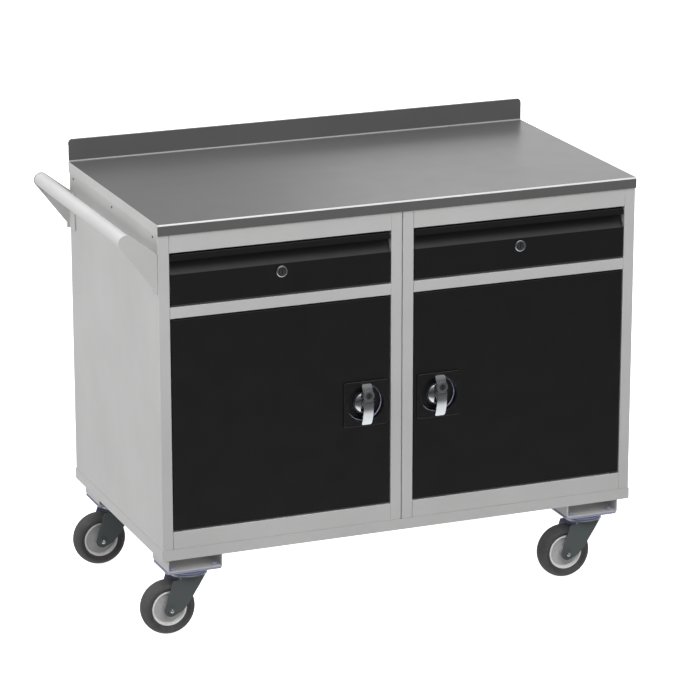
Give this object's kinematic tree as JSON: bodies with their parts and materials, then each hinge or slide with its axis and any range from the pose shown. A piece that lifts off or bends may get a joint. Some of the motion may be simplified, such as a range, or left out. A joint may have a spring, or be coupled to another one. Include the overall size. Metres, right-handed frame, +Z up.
{
  "type": "mobile workbench",
  "caption": "Mobile steel workbench: side-by-side cabinets with a drawer above a hinged door, a folded worktop with rear upstand, push handle and swivel casters.",
  "frame": {"origin": "middle of the bench's footprint, handle and latches included, at the floor that the tyres stand on", "axes": "+X to the right seen from the front, along the worktop's length; +Y from the doors to the back; +Z up"},
  "size_m": [1.228, 0.6472, 1.0075],
  "materials": {
    "cabinet_paint": "light grey powder coat, fine orange peel",
    "worktop_paint": "mid grey powder coat, semi-gloss",
    "front_paint": "black powder coat, semi-matt",
    "handle_paint": "light grey powder coat, semi-gloss",
    "latch_plastic": "black moulded, fine grain",
    "chrome_plate": "bright chrome",
    "lock_metal": "satin nickel",
    "zinc_plate": "bluish zinc plating",
    "fork_plate": "dark zinc plating, satin",
    "wheel_plastic": "grey moulded",
    "tyre_rubber": "dark grey solid rubber",
    "board": "plain particle board"
  },
  "bodies": {
    "root": {"worktop_sheet": "worktop_paint", "worktop_core": "board", "plinth_frame": "cabinet_paint", "handle_tube": "handle_paint", "handle_front_bracket": "handle_paint", "handle_rear_bracket": "handle_paint", "left_cabinet_shell": "cabinet_paint", "left_front_frame": "cabinet_paint", "left_drawer_left_runner": "zinc_plate", "left_drawer_right_runner": "zinc_plate", "left_door_lower_pin": "zinc_plate", "left_door_upper_pin": "zinc_plate", "right_cabinet_shell": "cabinet_paint", "right_front_frame": "cabinet_paint", "right_drawer_left_runner": "zinc_plate", "right_drawer_right_runner": "zinc_plate", "right_door_lower_pin": "zinc_plate", "right_door_upper_pin": "zinc_plate", "front_left_caster_channel": "cabinet_paint", "front_left_caster_plate": "zinc_plate", "front_right_caster_channel": "cabinet_paint", "front_right_caster_plate": "zinc_plate", "rear_left_caster_channel": "cabinet_paint", "rear_left_caster_plate": "zinc_plate", "rear_right_caster_channel": "cabinet_paint", "rear_right_caster_plate": "zinc_plate"},
    "left_drawer": {"left_drawer_front": "front_paint", "left_drawer_tray": "cabinet_paint", "left_drawer_lock_housing": "chrome_plate"},
    "left_drawer_lock": {"left_drawer_lock_plug": "lock_metal"},
    "left_door": {"left_door_panel": "front_paint", "left_latch_plate": "latch_plastic"},
    "left_latch": {"left_latch_lever": "chrome_plate", "left_latch_tongue": "zinc_plate"},
    "left_latch_lock": {"left_latch_lock_plug": "lock_metal"},
    "right_drawer": {"right_drawer_front": "front_paint", "right_drawer_tray": "cabinet_paint", "right_drawer_lock_housing": "chrome_plate"},
    "right_drawer_lock": {"right_drawer_lock_plug": "lock_metal"},
    "right_door": {"right_door_panel": "front_paint", "right_latch_plate": "latch_plastic"},
    "right_latch": {"right_latch_lever": "chrome_plate", "right_latch_tongue": "zinc_plate"},
    "right_latch_lock": {"right_latch_lock_plug": "lock_metal"},
    "front_left_fork": {"front_left_caster_fork": "fork_plate", "front_left_axle_bolt": "zinc_plate"},
    "front_left_wheel": {"front_left_wheel_centre": "wheel_plastic", "front_left_tyre": "tyre_rubber"},
    "front_right_fork": {"front_right_caster_fork": "fork_plate", "front_right_axle_bolt": "zinc_plate"},
    "front_right_wheel": {"front_right_wheel_centre": "wheel_plastic", "front_right_tyre": "tyre_rubber"},
    "rear_left_fork": {"rear_left_caster_fork": "fork_plate", "rear_left_axle_bolt": "zinc_plate"},
    "rear_left_wheel": {"rear_left_wheel_centre": "wheel_plastic", "rear_left_tyre": "tyre_rubber"},
    "rear_right_fork": {"rear_right_caster_fork": "fork_plate", "rear_right_axle_bolt": "zinc_plate"},
    "rear_right_wheel": {"rear_right_wheel_centre": "wheel_plastic", "rear_right_tyre": "tyre_rubber"}
  },
  "joints": [
    {"name": "left_drawer_slide", "type": "slide", "parent": "root", "child": "left_drawer", "axis": [0, -1, 0], "range_m": [0, 0.43]},
    {"name": "left_drawer_lock_turn", "type": "hinge", "parent": "left_drawer", "child": "left_drawer_lock", "pos_m": [-0.2429, -0.2894, 0.82297], "axis": [0, 1, 0], "range_deg": [0, 90]},
    {"name": "left_door_hinge", "type": "hinge", "parent": "root", "child": "left_door", "pos_m": [-0.48402, -0.2909, 0.49797], "axis": [0, 0, -1], "range_deg": [0, 120]},
    {"name": "left_latch_turn", "type": "hinge", "parent": "left_door", "child": "left_latch", "pos_m": [-0.04627, -0.2994, 0.49797], "axis": [0, -1, 0], "range_deg": [0, 90]},
    {"name": "left_latch_lock_turn", "type": "hinge", "parent": "left_latch", "child": "left_latch_lock", "pos_m": [-0.04627, -0.3194, 0.52097], "axis": [0, -1, 0], "range_deg": [0, 90]},
    {"name": "right_drawer_slide", "type": "slide", "parent": "root", "child": "right_drawer", "axis": [0, -1, 0], "range_m": [0, 0.43]},
    {"name": "right_drawer_lock_turn", "type": "hinge", "parent": "right_drawer", "child": "right_drawer_lock", "pos_m": [0.32785, -0.2894, 0.82297], "axis": [0, 1, 0], "range_deg": [0, 90]},
    {"name": "right_door_hinge", "type": "hinge", "parent": "root", "child": "right_door", "pos_m": [0.56898, -0.2909, 0.49797], "axis": [0, 0, 1], "range_deg": [0, 120]},
    {"name": "right_latch_turn", "type": "hinge", "parent": "right_door", "child": "right_latch", "pos_m": [0.13123, -0.2994, 0.49797], "axis": [0, 1, 0], "range_deg": [0, 90]},
    {"name": "right_latch_lock_turn", "type": "hinge", "parent": "right_latch", "child": "right_latch_lock", "pos_m": [0.13123, -0.3194, 0.52097], "axis": [0, 1, 0], "range_deg": [0, 90]},
    {"name": "front_left_swivel", "type": "hinge", "parent": "root", "child": "front_left_fork", "pos_m": [-0.45052, -0.2449, 0.14247], "axis": [0, 0, 1], "continuous": true},
    {"name": "front_left_wheel_spin", "type": "hinge", "parent": "front_left_fork", "child": "front_left_wheel", "pos_m": [-0.49982, -0.2449, 0.06197], "axis": [0, 1, 0], "continuous": true},
    {"name": "front_right_swivel", "type": "hinge", "parent": "root", "child": "front_right_fork", "pos_m": [0.52248, -0.2449, 0.14247], "axis": [0, 0, 1], "continuous": true},
    {"name": "front_right_wheel_spin", "type": "hinge", "parent": "front_right_fork", "child": "front_right_wheel", "pos_m": [0.47318, -0.2449, 0.06197], "axis": [0, 1, 0], "continuous": true},
    {"name": "rear_left_swivel", "type": "hinge", "parent": "root", "child": "rear_left_fork", "pos_m": [-0.45052, 0.2411, 0.14247], "axis": [0, 0, 1], "continuous": true},
    {"name": "rear_left_wheel_spin", "type": "hinge", "parent": "rear_left_fork", "child": "rear_left_wheel", "pos_m": [-0.49982, 0.2411, 0.06197], "axis": [0, 1, 0], "continuous": true},
    {"name": "rear_right_swivel", "type": "hinge", "parent": "root", "child": "rear_right_fork", "pos_m": [0.52248, 0.2411, 0.14247], "axis": [0, 0, 1], "continuous": true},
    {"name": "rear_right_wheel_spin", "type": "hinge", "parent": "rear_right_fork", "child": "rear_right_wheel", "pos_m": [0.47318, 0.2411, 0.06197], "axis": [0, 1, 0], "continuous": true}
  ]
}
